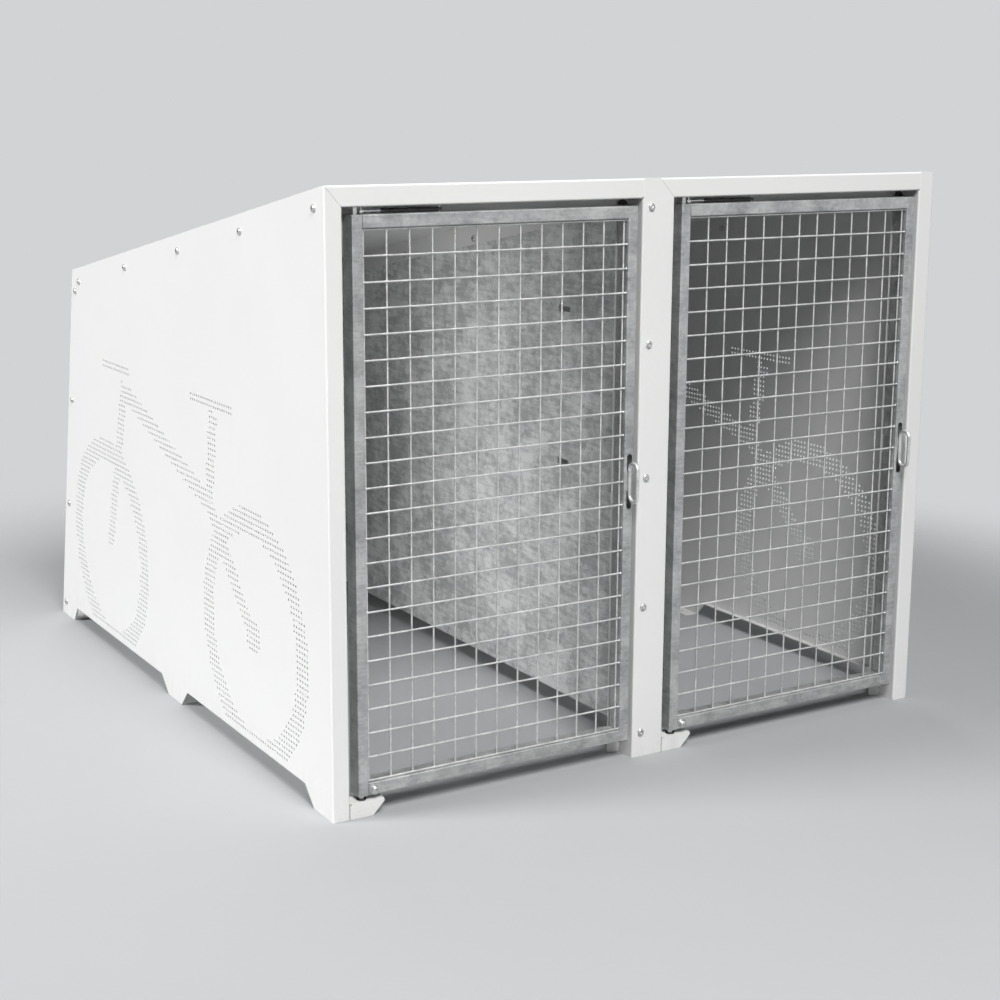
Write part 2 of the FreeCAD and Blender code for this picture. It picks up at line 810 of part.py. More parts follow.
def mesh_uprights(bay):
    """Upright wires, behind the cross wires, ending on the rails."""
    first = door_start(bay) + stile_width + mesh_side_margin
    y = mesh_setback + wire / 2 + wire_gap
    low, high = door_bottom + rail_height, door_top - rail_height
    return [rod_z(first + k * mesh_pitch, y, low, high, wire) for k in range(mesh_columns + 1)]


def mesh_crosswires(bay):
    """Level wires, ending on the stiles."""
    left, right = door_start(bay) + stile_width, door_end(bay) - stile_width
    first = door_bottom + rail_height + mesh_end_margin
    y = mesh_setback - wire / 2
    return [rod_x(y, first + k * mesh_pitch, left, right, wire) for k in range(mesh_rows + 1)]


def pivot_plugs(bay):
    """Bored blocks in both ends of the hinge stile."""
    inset = tube_wall + plug_clearance
    left, right = door_start(bay) + inset, door_start(bay) + stile_width - inset
    plugs = []
    for low in (door_bottom, door_top - plug_depth):
        block = box(left, right, inset, door_depth - inset, low, low + plug_depth)
        bore = rod_z(pivot_x(bay), pivot_setback, low, low + plug_depth, pivot_pin + 2 * pivot_fit)
        plugs.append(block.cut(bore))
    return plugs


def stile_caps(bay):
    """Caps in both ends of the lock stile."""
    right = door_end(bay)
    left = right - stile_width
    inset = tube_wall + plug_clearance
    caps = []
    for end, into in ((door_bottom, 1), (door_top, -1)):
        low, high = sorted((end, end + into * cap_depth))
        plug = box(left + inset, right - inset, inset, door_depth - inset, low, high)
        low, high = sorted((end, end - into * cap_flange))
        head = box(left, right, 0, door_depth, low, high)
        edges = [edge for edge in head.Edges if abs(edge.Length - cap_flange) < 0.01]
        caps.append(head.makeFillet(tube_corner, edges).fuse(plug))
    return caps


def clamp_place(bay):
    return door_start(bay) + clamp_inset, door_bottom + clamp_level


def clamp_bolt(bay):
    """Bolt in the bottom rail that holds the clamp plate."""
    x, z = clamp_place(bay)
    length = clamp_washer_thickness + tube_wall + clamp_plate_thickness + bolt_overrun
    seat = vector(x, -clamp_washer_thickness, z)
    return button_screw(seat, along_y, clamp_head, clamp_head_height, clamp_shank, length)


def clamp_washer_ring(bay):
    x, z = clamp_place(bay)
    ring = rod_y(x, z, -clamp_washer_thickness, 0, clamp_washer)
    return ring.cut(rod_y(x, z, -clamp_washer_thickness, 0, clamp_shank + screw_clearance))


def clamp_plate(bay):
    """Tapped plate behind the front wall of the bottom rail."""
    left = door_start(bay) + stile_width + seam_gap
    middle = door_bottom + rail_height / 2
    low, high = middle - clamp_plate_height / 2, middle + clamp_plate_height / 2
    plate = box(left, left + clamp_plate_length, tube_wall, tube_wall + clamp_plate_thickness, low, high)
    x, z = clamp_place(bay)
    return plate.cut(rod_y(x, z, 0, door_depth, clamp_shank + 2 * thread_fit))


def strut_places(bay):
    """Plan positions of the frame stud, the rod's eye and the door stud."""
    x = pivot_x(bay)
    line_y = pivot_setback + strut_line_setback
    frame = (x + strut_frame_offset, pivot_setback + strut_frame_setback)
    return frame, (frame[0] + strut_eye_shift, line_y), (x + strut_door_offset, line_y)


def strut_frame_stud(bay):
    """Headed stud under the fascia's lower lip that the rod's eye hangs on."""
    (x, y), _, _ = strut_places(bay)
    end = strut_level - strut_eye_thickness / 2 - moving_gap
    head = rod_z(x, y, end - stud_head_height, end, stud_head)
    return head.fuse(rod_z(x, y, end - stud_head_height, opening_top, strut_pin))


def strut_door_stud(bay):
    """Headed stud in the top rail that the cylinder swivels on."""
    _, _, (x, y) = strut_places(bay)
    neck = strut_level + strut_socket_height / 2 + moving_gap
    head = rod_z(x, y, neck, neck + stud_head_height, stud_head)
    return head.fuse(rod_z(x, y, door_top - tube_wall, neck + stud_head_height, strut_pin))


def barrel_start(bay):
    _, _, (x, _) = strut_places(bay)
    return x - strut_socket / 2 - strut_body_length


def strut_cylinder(bay):
    """Gas cylinder with its socket; the rod slides in its bore."""
    _, _, (x, y) = strut_places(bay)
    low, high = strut_level - strut_socket_height / 2, strut_level + strut_socket_height / 2
    socket = rod_z(x, y, low, high, strut_socket)
    start = barrel_start(bay)
    barrel = rod_x(y, strut_level, start, x, strut_body)
    bore_end = start + strut_rod_inside + strut_body
    cuts = [
        rod_z(x, y, low, high, strut_pin + 2 * pivot_fit),
        rod_x(y, strut_level, start - 1, bore_end, strut_rod + 2 * pivot_fit),
    ]
    return barrel.fuse(socket).cut(cuts)


def strut_piston_rod(bay):
    """Rod of the gas cylinder with the eye at its end."""
    _, (eye_x, y), _ = strut_places(bay)
    low = strut_level - strut_eye_thickness / 2
    high = strut_level + strut_eye_thickness / 2
    eye = rod_z(eye_x, y, low, high, strut_eye_outer)
    rod = rod_x(y, strut_level, eye_x, barrel_start(bay) + strut_rod_inside, strut_rod)
    return eye.fuse(rod).cut(rod_z(eye_x, y, low, high, strut_eye_inner))


def buffer_place(bay):
    return door_end(bay) - buffer_inset, door_top - buffer_drop


def buffer_cup(bay):
    """Bright cup on the stop flange that holds the rubber."""
    x, z = buffer_place(bay)
    rim_y = stop_setback - cup_depth
    cup = rod_y(x, z, rim_y, stop_setback, buffer_diameter)
    return cup.cut(rod_y(x, z, rim_y, stop_setback - cup_wall, buffer_diameter - 2 * cup_wall))


def buffer_rubber(bay):
    """Rubber block that the shut door rests on."""
    x, z = buffer_place(bay)
    rim_y = stop_setback - cup_depth
    plug = rod_y(x, z, rim_y - 1, stop_setback - cup_wall, buffer_diameter - 2 * cup_wall)
    return plug.fuse(rod_y(x, z, door_depth + moving_gap, rim_y, buffer_diameter))


def padlock_staple(bay):
    """Closed loop of round bar that stands out of the lock stile."""
    x = door_end(bay) - staple_inset
    radius = (staple_depth - staple_bar) / 2
    y = staple_back - staple_depth / 2
    reach = (staple_height - staple_bar) / 2 - radius
    low, high = staple_level - reach, staple_level + reach
    front, back = vector(x, y - radius, low), vector(x, y + radius, low)
    top_front, top_back = vector(x, y - radius, high), vector(x, y + radius, high)
    path = [
        Part.makeLine(front, top_front),
        Part.Arc(top_front, vector(x, y, high + radius), top_back).toShape(),
        Part.makeLine(top_back, back),
        Part.Arc(back, vector(x, y, low - radius), front).toShape(),
    ]
    section = Part.Wire(Part.makeCircle(staple_bar / 2, front, along_z))
    return Part.Wire(path).makePipeShell([section], True, False)


def staple_lug(bay):
    """Flat lug from the stop flange, through the lock stile, to the back of the staple."""
    x = door_end(bay) - staple_inset
    bar_y = staple_back - staple_bar / 2
    low, high = staple_level - lug_height / 2, staple_level + lug_height / 2
    lug = box(x - lug_thickness / 2, x + lug_thickness / 2, bar_y, stop_setback, low, high)
    return lug.cut(rod_z(x, bar_y, low, high, staple_bar))


def save_casing():
    """Sheets and fasteners that the two bays share."""
    save("side_panel_left", side_panel(-1))
    save("side_panel_right", side_panel(1))
    save("centre_post", centre_post())
    save("partition", partition())
    save("side_screws_left", Part.makeCompound(side_screws(-1)))
    save("side_screws_right", Part.makeCompound(side_screws(1)))
    save("side_nuts_left", Part.makeCompound(side_nuts(-1)))
    save("side_nuts_right", Part.makeCompound(side_nuts(1)))
    save("partition_bolts", Part.makeCompound(partition_bolts()))
    save("partition_nuts", Part.makeCompound(partition_nuts()))
    save("centre_post_screws", Part.makeCompound(post_screws()))
    save("centre_post_nuts", Part.makeCompound(post_nuts()))


def save_bay(bay):
    """Roof, rear sheet, door and fittings of one bay."""
    side = bay_names[bay]
    save("roof_tray_" + side, roof_tray(bay))
    save("rear_panel_" + side, rear_panel(bay))
    save("pivot_bracket_" + side, pivot_bracket(bay))
    save("lower_pivot_pin_" + side, lower_pin(bay))
    save("upper_pivot_pin_" + side, upper_pin(bay))
    save("strut_frame_stud_" + side, strut_frame_stud(bay))
    save("buffer_cup_" + side, buffer_cup(bay))
    save("buffer_rubber_" + side, buffer_rubber(bay))
    save("padlock_staple_" + side, padlock_staple(bay))
    save("staple_lug_" + side, staple_lug(bay))
    door = "door_" + side + "_"
    save(door + "hinge_stile", hinge_stile(bay))
    save(door + "lock_stile", lock_stile(bay))
    save(door + "top_rail", top_rail(bay))
    save(door + "bottom_rail", bottom_rail(bay))
    save(door + "mesh_uprights", Part.makeCompound(mesh_uprights(bay)))
    save(door + "mesh_crosswires", Part.makeCompound(mesh_crosswires(bay)))
    save(door + "pivot_plugs", Part.makeCompound(pivot_plugs(bay)))
    save(door + "stile_caps", Part.makeCompound(stile_caps(bay)))
    save(door + "clamp_bolt", clamp_bolt(bay))
    save(door + "clamp_washer", clamp_washer_ring(bay))
    save(door + "clamp_plate", clamp_plate(bay))
    save(door + "strut_stud", strut_door_stud(bay))
    save("strut_cylinder_" + side, strut_cylinder(bay))
    save("strut_rod_" + side, strut_piston_rod(bay))


save_casing()
for bay_index in range(bay_count):
    save_bay(bay_index)
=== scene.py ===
"""Looks of a two-bay bicycle locker: powder-coated casing, galvanised mesh doors and their fittings."""

import json
import logging
import math
from collections.abc import Callable, Iterable
from dataclasses import dataclass, field
from enum import Enum

import bmesh
import bpy
from mathutils import Matrix, Vector


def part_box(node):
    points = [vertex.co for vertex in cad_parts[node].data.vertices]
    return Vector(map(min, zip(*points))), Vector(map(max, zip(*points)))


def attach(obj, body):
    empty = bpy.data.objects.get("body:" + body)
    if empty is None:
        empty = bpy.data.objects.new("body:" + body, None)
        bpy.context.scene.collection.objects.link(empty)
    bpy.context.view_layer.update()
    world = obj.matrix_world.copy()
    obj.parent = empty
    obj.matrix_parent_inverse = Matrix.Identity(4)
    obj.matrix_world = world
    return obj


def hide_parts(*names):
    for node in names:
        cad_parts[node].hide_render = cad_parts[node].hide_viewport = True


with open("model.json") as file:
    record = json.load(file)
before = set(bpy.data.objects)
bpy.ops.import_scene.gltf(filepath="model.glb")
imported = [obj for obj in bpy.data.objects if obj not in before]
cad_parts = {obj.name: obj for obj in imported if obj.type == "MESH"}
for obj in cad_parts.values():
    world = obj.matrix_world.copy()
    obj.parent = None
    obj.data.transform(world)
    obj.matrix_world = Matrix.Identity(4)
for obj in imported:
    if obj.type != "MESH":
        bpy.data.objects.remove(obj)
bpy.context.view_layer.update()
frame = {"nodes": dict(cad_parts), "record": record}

log = logging.getLogger("locker")

Colour = tuple[float, float, float]


class Side(Enum):
    """The two bays, seen from the doors."""

    LEFT = "left"
    RIGHT = "right"


class Slot(Enum):
    """The record's material slots."""

    COAT = "white_powder_coat"
    SHEET = "galvanised_sheet"
    TUBE = "galvanised_tube"
    WIRE = "galvanised_wire"
    BAR = "galvanised_bar"
    ZINC = "zinc_fasteners"
    RUBBER = "black_rubber"
    PLASTIC = "black_plastic"
    PAINT = "black_paint"
    CHROME = "chromed_rod"


# Shader graphs


class Graph:
    """A node tree with short calls to place and wire its nodes."""

    def __init__(self, tree: bpy.types.NodeTree) -> None:
        """Hold the tree that the nodes go into."""
        self.tree = tree

    def node(self, kind: str, **settings: object) -> bpy.types.Node:
        """Place a node.

        Args:
            kind: the node's Blender type.
            settings: its properties, or its input values by socket name with spaces as underscores.

        Returns:
            The new node.
        """
        made = self.tree.nodes.new(kind)
        for key, value in settings.items():
            if hasattr(made, key):
                setattr(made, key, value)
            else:
                made.inputs[key.replace("_", " ")].default_value = value
        return made

    def link(self, source: bpy.types.NodeSocket, target: bpy.types.NodeSocket) -> None:
        """Wire one socket to another."""
        self.tree.links.new(source, target)

    def math(self, operation: str, *values: object) -> bpy.types.NodeSocket:
        """Place a Math node.

        Args:
            operation: its operation.
            values: numbers or sockets, in the order of its inputs.

        Returns:
            Its output socket.
        """
        made = self.node("ShaderNodeMath", operation=operation)
        for index, value in enumerate(values):
            self.feed(value, made.inputs[index])
        return made.outputs[0]

    def feed(self, value: object, target: bpy.types.NodeSocket) -> None:
        """Wire a socket to the target, or set the target to a value.

        Args:
            value: the socket, number or colour.
            target: the input that takes it.
        """
        if isinstance(value, bpy.types.NodeSocket):
            self.link(value, target)
        else:
            target.default_value = value

    def weigh(self, first: object, share: float, second: object) -> bpy.types.NodeSocket:
        """Add a share of one value to the rest of another.

        Args:
            first: a number or socket.
            share: its share, 0 to 1.
            second: the other number or socket.

        Returns:
            The sum's socket.
        """
        return self.math("ADD", self.math("MULTIPLY", first, share), self.math("MULTIPLY", second, 1 - share))

    def spread(
        self, value: bpy.types.NodeSocket, low: float, high: float, start: float, end: float
    ) -> bpy.types.NodeSocket:
        """Map a value from low..high to start..end, clamped.

        Args:
            value: the socket to map.
            low: the lower end of what comes in.
            high: the upper end of what comes in.
            start: the result at low.
            end: the result at high.

        Returns:
            The mapped socket.
        """
        made = self.node("ShaderNodeMapRange", From_Min=low, From_Max=high, To_Min=start, To_Max=end)
        self.link(value, made.inputs["Value"])
        return made.outputs["Result"]

    def noise(
        self, vector: bpy.types.NodeSocket, scale: object, detail: float, rough: float = 0.55
    ) -> bpy.types.NodeSocket:
        """Place a Noise texture.

        Args:
            vector: where it is read.
            scale: its scale, a number or a socket.
            detail: its octaves.
            rough: how strong the fine octaves are.

        Returns:
            Its value socket.
        """
        made = self.node("ShaderNodeTexNoise", Detail=detail, Roughness=rough)
        self.link(vector, made.inputs["Vector"])
        self.feed(scale, made.inputs["Scale"])
        return made.outputs["Fac"]

    def blend(self, factor: object, first: object, second: object) -> bpy.types.NodeSocket:
        """Mix two colours.

        Args:
            factor: the share of the second, a number or a socket.
            first: the first colour, or a socket.
            second: the second colour, or a socket.

        Returns:
            The mixed colour's socket.
        """
        made = self.node("ShaderNodeMix", data_type="RGBA")
        self.feed(factor, made.inputs[0])
        for value, target in ((first, made.inputs[6]), (second, made.inputs[7])):
            self.feed((*value, 1.0) if isinstance(value, tuple) else value, target)
        return made.outputs[2]

    def place(self) -> bpy.types.NodeSocket:
        """Object coordinates, in metres in the row's frame."""
        return self.node("ShaderNodeTexCoord").outputs["Object"]

    def stretched(self, vector: bpy.types.NodeSocket, scale: Colour) -> bpy.types.NodeSocket:
        """Scale a vector by axis.

        Args:
            vector: the vector's socket.
            scale: the factor along each axis.

        Returns:
            The scaled vector's socket.
        """
        made = self.node("ShaderNodeMapping", Scale=scale)
        self.link(vector, made.inputs["Vector"])
        return made.outputs["Vector"]


def shared_group(
    name: str, inputs: dict[str, float], outputs: Iterable[str], build: Callable
) -> bpy.types.NodeTree:
    """Make a shader node group once.

    Args:
        name: the group's name.
        inputs: its number inputs with their defaults, which follow a Vector input.
        outputs: its number outputs.
        build: places the nodes, given the graph, the group's inputs and its outputs.

    Returns:
        The group's node tree.
    """
    if name in bpy.data.node_groups:
        return bpy.data.node_groups[name]
    tree = bpy.data.node_groups.new(name, "ShaderNodeTree")
    tree.interface.new_socket("Vector", in_out="INPUT", socket_type="NodeSocketVector")
    for label, value in inputs.items():
        made = tree.interface.new_socket(label, in_out="INPUT", socket_type="NodeSocketFloat")
        made.default_value = value
    for label in outputs:
        tree.interface.new_socket(label, in_out="OUTPUT", socket_type="NodeSocketFloat")
    graph = Graph(tree)
    build(graph, graph.node("NodeGroupInput").outputs, graph.node("NodeGroupOutput").inputs)
    return tree


def zinc_spangle(graph: Graph, given: bpy.types.NodeOutputs, out: bpy.types.NodeInputs) -> None:
    """Paint crystals of a zinc bath at two sizes, with clouds, streaks and a fine grain.

    Args:
        graph: the group's graph.
        given: the group's inputs: Vector, Crystal, Cloud, Streak.
        out: the group's outputs: Tone, Facet, Height.
    """
    vector, crystal, cloud = given["Vector"], given["Crystal"], given["Cloud"]
    wander_scale, wander_reach = 0.6, 0.9
    coarse, small, coarse_share = 1.0, 2.9, 0.62
    drawn_out, streak_scale, grain_scale = 7.0, 1.7, 7.0
    facet_share, broad_share = 0.55, 0.55
    wander = graph.node("ShaderNodeTexNoise", Detail=2.0)
    graph.link(vector, wander.inputs["Vector"])
    graph.feed(graph.math("MULTIPLY", crystal, wander_scale), wander.inputs["Scale"])
    centred = graph.node("ShaderNodeVectorMath", operation="SUBTRACT")
    graph.link(wander.outputs["Color"], centred.inputs[0])
    centred.inputs[1].default_value = (0.5, 0.5, 0.5)
    sized = graph.node("ShaderNodeVectorMath", operation="SCALE")
    graph.link(centred.outputs[0], sized.inputs[0])
    graph.feed(graph.math("DIVIDE", wander_reach, crystal), sized.inputs["Scale"])
    moved = graph.node("ShaderNodeVectorMath", operation="ADD")
    graph.link(vector, moved.inputs[0])
    graph.link(sized.outputs[0], moved.inputs[1])
    facets = []
    for factor in (coarse, small):
        cells = graph.node("ShaderNodeTexVoronoi")
        graph.link(moved.outputs[0], cells.inputs["Vector"])
        graph.feed(graph.math("MULTIPLY", crystal, factor), cells.inputs["Scale"])
        parts = graph.node("ShaderNodeSeparateColor")
        graph.link(cells.outputs["Color"], parts.inputs[0])
        facets.append(parts.outputs[0])
    facet = graph.weigh(facets[0], coarse_share, facets[1])
    clouds = graph.spread(graph.noise(vector, cloud, 6.0, 0.62), 0.33, 0.67, 0.0, 1.0)
    drawn = graph.stretched(vector, (1.0, 1.0, drawn_out))
    lines = graph.noise(drawn, graph.math("MULTIPLY", cloud, streak_scale), 5.0, 0.6)
    streaks = graph.spread(lines, 0.34, 0.66, 0.0, 1.0)
    grain = graph.noise(vector, graph.math("MULTIPLY", crystal, grain_scale), 3.0, 0.6)
    broad = graph.node("ShaderNodeMix", data_type="FLOAT")
    graph.link(given["Streak"], broad.inputs[0])
    graph.link(clouds, broad.inputs[2])
    graph.link(streaks, broad.inputs[3])
    fine = graph.weigh(facet, facet_share, grain)
    graph.link(graph.weigh(broad.outputs[0], broad_share, fine), out["Tone"])
    graph.link(facet, out["Facet"])
    graph.link(graph.math("ADD", facet, graph.math("MULTIPLY", grain, 0.5)), out["Height"])


def coat_peel(graph: Graph, given: bpy.types.NodeOutputs, out: bpy.types.NodeInputs) -> None:
    """Paint the fine ripple of a sprayed and baked coat, with a broad drift of its tone.

    Args:
        graph: the group's graph.
        given: the group's inputs: Vector, Ripple, Drift.
        out: the group's outputs: Height, Tone.
    """
    ripple = graph.noise(given["Vector"], given["Ripple"], 2.0, 0.4)
    broad = graph.noise(given["Vector"], given["Drift"], 3.0, 0.5)
    graph.link(ripple, out["Height"])
    graph.link(graph.spread(broad, 0.3, 0.7, 0.0, 1.0), out["Tone"])


def ground_dust(graph: Graph, given: bpy.types.NodeOutputs, out: bpy.types.NodeInputs) -> None:
    """Paint dust and splashes that fade upwards from the ground.

    Args:
        graph: the group's graph.
        given: the group's inputs: Vector, Reach, Amount.
        out: the group's output: Mask.
    """
    axes = graph.node("ShaderNodeSeparateXYZ")
    graph.link(given["Vector"], axes.inputs[0])
    height = graph.math("DIVIDE", axes.outputs[2], given["Reach"])
    fade = graph.spread(height, 0.0, 1.0, 1.0, 0.0)
    run_scale, speck_scale, run_share = 26.0, 160.0, 0.65
    runs = graph.noise(graph.stretched(given["Vector"], (1.0, 1.0, 0.25)), run_scale, 5.0, 0.65)
    specks = graph.noise(given["Vector"], speck_scale, 3.0, 0.7)
    patch = graph.weigh(runs, run_share, specks)
    worn = graph.math("MULTIPLY", graph.math("POWER", fade, 2.0), graph.spread(patch, 0.38, 0.66, 0.0, 1.0))
    graph.link(graph.math("MULTIPLY", worn, given["Amount"]), out["Mask"])


@dataclass(frozen=True)
class Finish:
    """What every finish shares: a name, and a Principled shader to wire."""

    slot: Slot

    def begin(self) -> tuple[bpy.types.Material, Graph, bpy.types.Node]:
        """Start the material.

        Returns:
            The material, its graph and its Principled shader.
        """
        made = bpy.data.materials.new(self.slot.value)
        made.use_nodes = True
        graph = Graph(made.node_tree)
        return made, graph, made.node_tree.nodes["Principled BSDF"]

    def bumped(
        self, graph: Graph, shader: bpy.types.Node, height: bpy.types.NodeSocket, depth: float
    ) -> None:
        """Give the shader a bump.

        Args:
            graph: the material's graph.
            shader: its Principled shader.
            height: the height's socket, 0 to 1.
            depth: the height of 1, in metres.
        """
        bump = graph.node("ShaderNodeBump", Strength=1.0, Distance=depth)
        graph.link(height, bump.inputs["Height"])
        graph.link(bump.outputs["Normal"], shader.inputs["Normal"])

    def grouped(self, graph: Graph, tree: bpy.types.NodeTree, **values: float) -> bpy.types.Node:
        """Place a shared group on the object's own coordinates.

        Args:
            graph: the material's graph.
            tree: the group.
            values: its number inputs.

        Returns:
            The group node.
        """
        made = graph.node("ShaderNodeGroup", node_tree=tree)
        for label, value in values.items():
            made.inputs[label].default_value = value
        graph.link(graph.place(), made.inputs["Vector"])
        return made


def peel_tree() -> bpy.types.NodeTree:
    """The shared group of the sprayed coat."""
    return shared_group("coat_peel", {"Ripple": 300.0, "Drift": 3.0}, ("Height", "Tone"), coat_peel)


def dust_tree() -> bpy.types.NodeTree:
    """The shared group of the dust near the ground."""
    return shared_group("ground_dust", {"Reach": 0.2, "Amount": 0.3}, ("Mask",), ground_dust)


def spangle_tree() -> bpy.types.NodeTree:
    """The shared group of the zinc crystals."""
    inputs = {"Crystal": 90.0, "Cloud": 9.0, "Streak": 0.4}
    return shared_group("zinc_spangle", inputs, ("Tone", "Facet", "Height"), zinc_spangle)


@dataclass(frozen=True)
class PowderCoat(Finish):
    """Satin powder coat with a fine ripple and a little dust at the ground."""

    colour: Colour = (0.8, 0.803, 0.79)
    drift: Colour = (0.775, 0.78, 0.768)
    dust: Colour = (0.5, 0.49, 0.46)
    roughness: tuple[float, float] = (0.33, 0.4)
    ripple: float = 260.0
    ripple_depth: float = 0.00003
    drift_scale: float = 2.6
    dust_reach: float = 0.16
    dust_amount: float = 0.35
    dust_dulling: float = 0.5

    def material(self) -> bpy.types.Material:
        """Build the coat.

        Returns:
            The material.
        """
        made, graph, shader = self.begin()
        peel = self.grouped(graph, peel_tree(), Ripple=self.ripple, Drift=self.drift_scale)
        dust = self.grouped(graph, dust_tree(), Reach=self.dust_reach, Amount=self.dust_amount)
        coat = graph.blend(peel.outputs["Tone"], self.colour, self.drift)
        graph.link(graph.blend(dust.outputs["Mask"], coat, self.dust), shader.inputs["Base Color"])
        gloss = graph.spread(peel.outputs["Tone"], 0.0, 1.0, *self.roughness)
        dulled = graph.math("MULTIPLY", dust.outputs["Mask"], self.dust_dulling)
        graph.link(graph.math("ADD", gloss, dulled), shader.inputs["Roughness"])
        self.bumped(graph, shader, peel.outputs["Height"], self.ripple_depth)
        return made


@dataclass(frozen=True)
class Galvanised(Finish):
    """Zinc-coated steel with crystals, clouds and dull patches."""

    dark: Colour
    light: Colour
    metallic: float
    crystal: float
    cloud: float
    streak: float
    roughness: tuple[float, float]
    low: float = 0.25
    high: float = 0.75
    relief: float = 0.00005
    dust: Colour = (0.4, 0.39, 0.37)
    dust_reach: float = 0.12
    dust_amount: float = 0.25

    def material(self) -> bpy.types.Material:
        """Build the zinc.

        Returns:
            The material.
        """
        made, graph, shader = self.begin()
        sizes = {"Crystal": self.crystal, "Cloud": self.cloud, "Streak": self.streak}
        zinc = self.grouped(graph, spangle_tree(), **sizes)
        dust = self.grouped(graph, dust_tree(), Reach=self.dust_reach, Amount=self.dust_amount)
        tone = graph.spread(zinc.outputs["Tone"], self.low, self.high, 0.0, 1.0)
        metal = graph.blend(tone, self.dark, self.light)
        graph.link(graph.blend(dust.outputs["Mask"], metal, self.dust), shader.inputs["Base Color"])
        gloss = graph.spread(zinc.outputs["Facet"], 0.2, 0.8, *self.roughness)
        graph.link(gloss, shader.inputs["Roughness"])
        shader.inputs["Metallic"].default_value = self.metallic
        self.bumped(graph, shader, zinc.outputs["Height"], self.relief)
        return made


@dataclass(frozen=True)
class PlatedSteel(Finish):
    """Bright plated steel with a turned grain and slight stains."""

    colour: Colour = (0.66, 0.66, 0.65)
    stain: Colour = (0.42, 0.42, 0.41)
    roughness: tuple[float, float] = (0.22, 0.38)
    grain: float = 900.0
    grain_depth: float = 0.00001
    stain_scale: float = 140.0
    stained: float = 0.6

    def material(self) -> bpy.types.Material:
        """Build the plating.

        Returns:
            The material.
        """
        made, graph, shader = self.begin()
        place = graph.place()
        fine = graph.noise(place, self.grain, 3.0, 0.6)
        marks = graph.spread(graph.noise(place, self.stain_scale, 4.0, 0.65), 0.42, 0.72, 0.0, self.stained)
        graph.link(graph.blend(marks, self.colour, self.stain), shader.inputs["Base Color"])
        graph.link(graph.spread(fine, 0.3, 0.7, *self.roughness), shader.inputs["Roughness"])
        shader.inputs["Metallic"].default_value = 1.0
        self.bumped(graph, shader, fine, self.grain_depth)
        return made


@dataclass(frozen=True)
class Moulded(Finish):
    """Black rubber, plastic or paint with a fine texture and pale dust."""

    colour: Colour = (0.02, 0.02, 0.021)
    bloom: Colour = (0.06, 0.06, 0.058)
    roughness: tuple[float, float] = (0.5, 0.7)
    texture: float = 700.0
    bloom_scale: float = 60.0
    relief: float = 0.00004

    def material(self) -> bpy.types.Material:
        """Build the moulding.

        Returns:
            The material.
        """
        made, graph, shader = self.begin()
        place = graph.place()
        fine = graph.noise(place, self.texture, 2.0)
        bloom = graph.spread(graph.noise(place, self.bloom_scale, 4.0, 0.6), 0.4, 0.7, 0.0, 1.0)
        graph.link(graph.blend(bloom, self.colour, self.bloom), shader.inputs["Base Color"])
        graph.link(graph.spread(bloom, 0.0, 1.0, *self.roughness), shader.inputs["Roughness"])
        self.bumped(graph, shader, fine, self.relief)
        return made


def finishes() -> dict[Slot, bpy.types.Material]:
    """Build every finish.

    Returns:
        The material of each slot.
    """
    kinds = (
        PowderCoat(Slot.COAT),
        Galvanised(
            Slot.SHEET, dark=(0.49, 0.496, 0.5), light=(0.88, 0.89, 0.89), metallic=0.15,
            crystal=62.0, cloud=7.5, streak=0.4, low=0.34, high=0.66, roughness=(0.34, 0.56),
        ),
        Galvanised(
            Slot.TUBE, dark=(0.29, 0.296, 0.3), light=(0.56, 0.565, 0.56), metallic=0.6,
            crystal=120.0, cloud=16.0, streak=0.3, low=0.2, high=0.7, roughness=(0.34, 0.5),
        ),
        Galvanised(
            Slot.WIRE, dark=(0.5, 0.51, 0.5), light=(0.78, 0.78, 0.77), metallic=0.7,
            crystal=160.0, cloud=30.0, streak=0.2, low=0.2, high=0.7, roughness=(0.34, 0.5), dust_amount=0.1,
        ),
        Galvanised(
            Slot.BAR, dark=(0.55, 0.56, 0.56), light=(0.85, 0.86, 0.85), metallic=0.8,
            crystal=150.0, cloud=22.0, streak=0.2, roughness=(0.3, 0.46),
        ),
        PlatedSteel(Slot.ZINC),
        Moulded(Slot.RUBBER),
        Moulded(Slot.PLASTIC, colour=(0.025, 0.025, 0.026), roughness=(0.38, 0.55), texture=1100.0),
        Moulded(
            Slot.PAINT, colour=(0.015, 0.015, 0.016), bloom=(0.03, 0.03, 0.03), roughness=(0.26, 0.36),
            relief=0.00001,
        ),
        PlatedSteel(
            Slot.CHROME, colour=(0.72, 0.72, 0.73), stain=(0.6, 0.6, 0.6), roughness=(0.08, 0.16),
            stained=0.25,
        ),
    )
    return {kind.slot: kind.material() for kind in kinds}


# Meshes


def turned(profile: Iterable[tuple[float, float]], steps: int, closed: bool = False) -> bmesh.types.BMesh:
    """Turn a profile round Z.

    Args:
        profile: (radius, height) pairs; an open profile starts and ends on the axis.
        steps: how many steps make the full turn.
        closed: True where the profile is a loop that stays off the axis.

    Returns:
        The turned solid.
    """
    made = bmesh.new()
    verts = [made.verts.new((radius, 0.0, height)) for radius, height in profile]
    pairs = list(zip(verts, verts[1:])) + ([(verts[-1], verts[0])] if closed else [])
    edges = [made.edges.new(pair) for pair in pairs]
    bmesh.ops.spin(
        made, geom=verts + edges, cent=(0, 0, 0), axis=(0, 0, 1), dvec=(0, 0, 0), angle=math.tau,
        steps=steps, use_merge=True, use_normal_flip=False, use_duplicate=False,
    )
    bmesh.ops.remove_doubles(made, verts=made.verts, dist=1e-6)
    bmesh.ops.recalc_face_normals(made, faces=made.faces)
    return made


